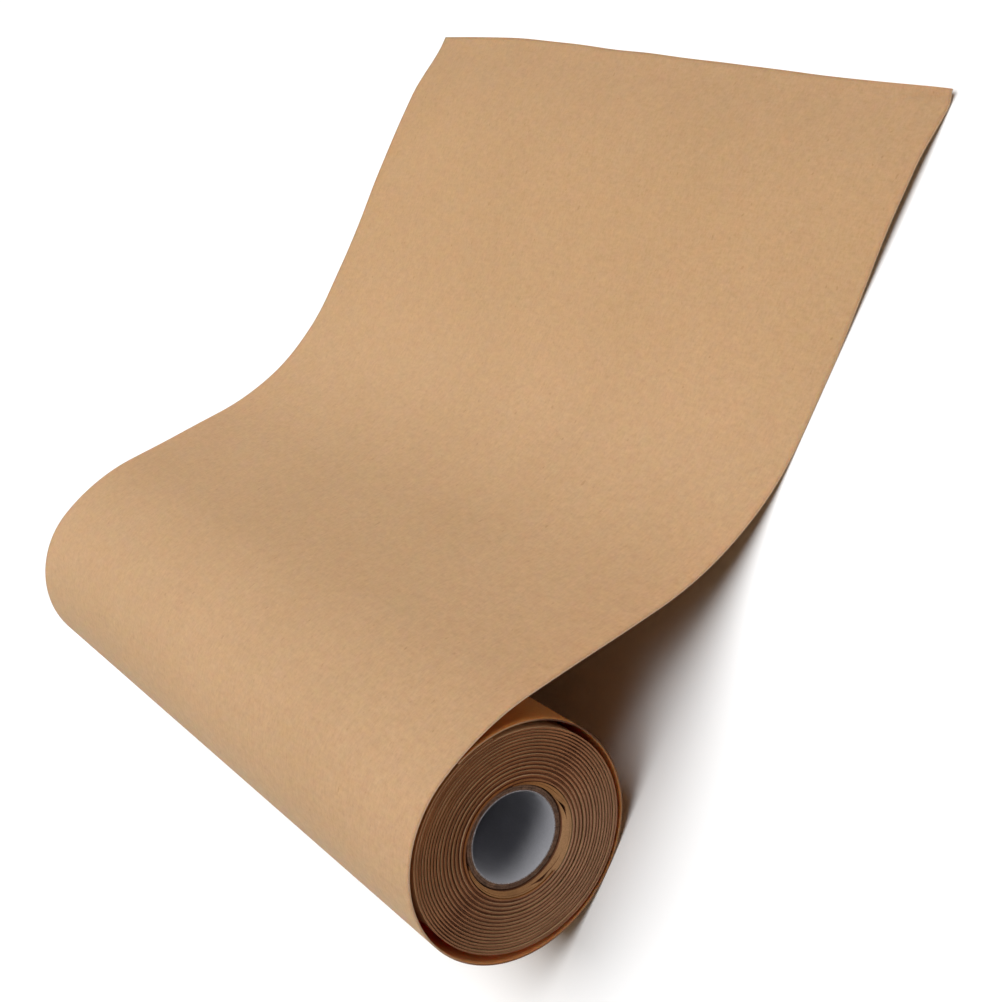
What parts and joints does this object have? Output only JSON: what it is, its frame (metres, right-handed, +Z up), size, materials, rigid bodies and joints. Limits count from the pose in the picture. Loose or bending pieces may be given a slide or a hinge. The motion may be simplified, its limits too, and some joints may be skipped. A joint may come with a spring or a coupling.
{
  "type": "wrapping paper roll",
  "caption": "Roll of brown wrapping paper on a cardboard core, its loose outer turn running over the top and down to a free sheet that lies flat.",
  "frame": {"origin": "centre of the core's bore, halfway along the roll", "axes": "+X along the roll, +Y the way the paper is drawn out, +Z up; the table is at z = -36.2 mm"},
  "size_m": [0.3, 0.2962, 0.0688],
  "materials": {
    "kraft_sheet": "matt, fine fibre texture",
    "kraft_wound": "matt cut edges",
    "kraft_fold": "matt, folded",
    "core_board": "matt, mottled board",
    "liner_paper": "smooth matt",
    "glue": "dried glue"
  },
  "bodies": {
    "drawn_sheet": {"outer_wrap": "kraft_sheet", "sheet_slope": "kraft_sheet"},
    "roll": {"core_liner": "liner_paper", "core_inner_ply": "core_board", "core_outer_ply": "core_board", "start_glue": "glue", "start_fold": "kraft_fold", "winding": "kraft_wound"},
    "free_end": {"sheet_end": "kraft_sheet"}
  },
  "joints": [
    {"name": "roll_spin", "type": "hinge", "parent": "drawn_sheet", "child": "roll", "pos_m": [0, -0.0005, -0.00178], "axis": [1, 0, 0], "continuous": true},
    {"name": "sheet_lift", "type": "hinge", "parent": "drawn_sheet", "child": "free_end", "pos_m": [0, 0.15, -0.03598], "axis": [1, 0, 0], "range_deg": [0, 80]}
  ]
}
